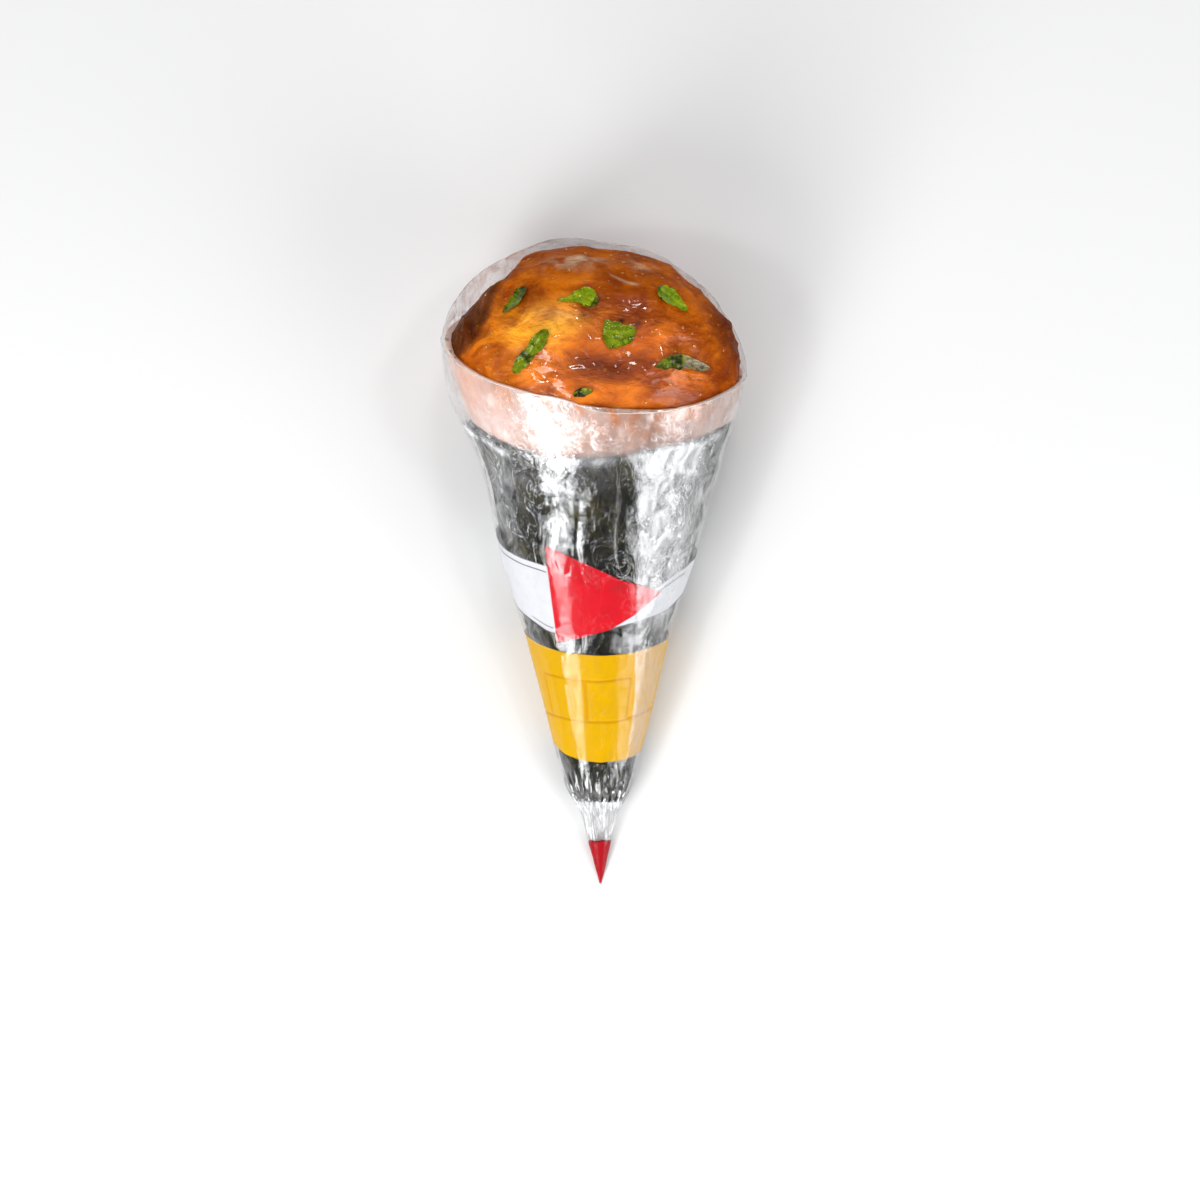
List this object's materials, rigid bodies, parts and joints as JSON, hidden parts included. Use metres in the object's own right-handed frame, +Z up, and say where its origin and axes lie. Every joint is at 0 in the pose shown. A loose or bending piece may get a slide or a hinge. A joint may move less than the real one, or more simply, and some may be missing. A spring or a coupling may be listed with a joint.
{
  "type": "salmon hand roll",
  "caption": "Cone-shaped hand roll of seaweed, rice and glazed salmon with herb pieces, in a clear film cone, lying on its side",
  "frame": {"origin": "on the surface that the roll lies on, under the middle of its bounding box", "axes": "+Z up, +Y along the roll from its closed tip to its open mouth, +X to the right seen from above with the mouth away from the viewer"},
  "size_m": [0.0694, 0.1486, 0.0516],
  "materials": {
    "clear_film": "clear wrinkled film",
    "seaweed": "dark dried seaweed",
    "rice_and_salmon": "soft and moist",
    "glazed_salmon": "oily glaze",
    "herb": "fresh leaf"
  },
  "bodies": {
    "root": {"film_wrapper": "clear_film", "nori_cone": "seaweed", "filling": "rice_and_salmon", "salmon_top": "glazed_salmon", "herb_1": "herb", "herb_2": "herb", "herb_3": "herb", "herb_4": "herb", "herb_5": "herb", "herb_6": "herb", "herb_7": "herb"}
  },
  "joints": []
}
